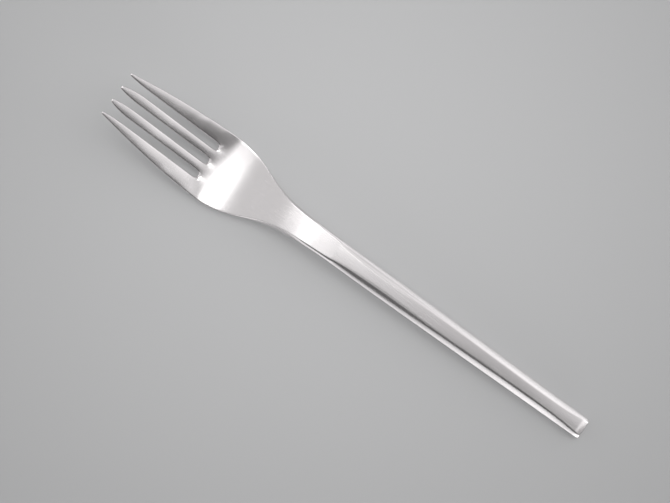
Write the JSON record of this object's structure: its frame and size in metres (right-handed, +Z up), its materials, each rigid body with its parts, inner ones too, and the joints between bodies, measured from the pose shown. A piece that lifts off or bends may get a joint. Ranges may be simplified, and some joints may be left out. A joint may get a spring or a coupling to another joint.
{
  "type": "dinner fork",
  "caption": "Satin steel dinner fork with long tapered tines, a shallow bowl, a waisted neck and a slim faceted hollow handle.",
  "frame": {"origin": "on the table, under the middle of the fork's bounding box, with the fork lying on its back", "axes": "+X from the tine tips to the butt, +Y across the fork, +Z up from the table, the way the tines curve"},
  "size_m": [0.205, 0.0274, 0.0126],
  "materials": {
    "head_satin": "satin",
    "handle_satin": "satin",
    "filling": "matt"
  },
  "bodies": {
    "root": {"fork_head": "head_satin", "handle_top_shell": "handle_satin", "handle_bottom_shell": "handle_satin", "handle_core": "filling"}
  },
  "joints": []
}
